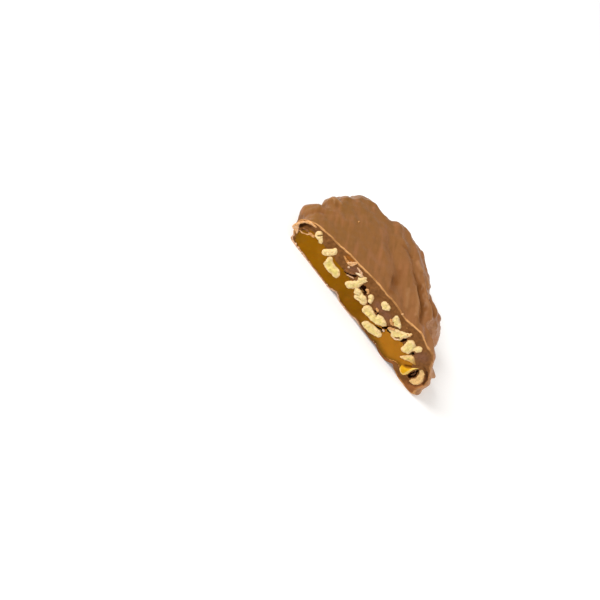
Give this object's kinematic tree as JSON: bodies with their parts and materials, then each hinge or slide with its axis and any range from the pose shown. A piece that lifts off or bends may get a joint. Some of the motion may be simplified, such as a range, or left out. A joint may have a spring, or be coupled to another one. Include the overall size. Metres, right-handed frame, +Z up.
{
  "type": "pecan caramel chocolate patty half",
  "caption": "Half of a round chocolate patty, cut through to show a caramel slab set with pecan pieces; lies flat, lumpy rim and rippled top.",
  "frame": {"origin": "middle of the underside of the bounding box, on the surface that the half lies on", "axes": "+Z up through the top of the patty, +X along the cut towards its thicker, tapered end, -Y out of the cut face"},
  "size_m": [0.0824, 0.044, 0.0223],
  "materials": {
    "chocolate": "satin milk chocolate outside, duller and darker where it is cut",
    "caramel": "smooth glossy amber caramel",
    "pecan": "matte cream nut flesh with thin brown skin in its folds"
  },
  "bodies": {
    "root": {"chocolate": "chocolate", "caramel": "caramel", "pecan_01": "pecan", "pecan_02": "pecan", "pecan_03": "pecan", "pecan_04": "pecan", "pecan_05": "pecan", "pecan_06": "pecan", "pecan_07": "pecan", "pecan_08": "pecan", "pecan_09": "pecan", "pecan_10": "pecan", "pecan_11": "pecan", "pecan_12": "pecan", "pecan_13": "pecan", "pecan_14": "pecan"}
  },
  "joints": []
}
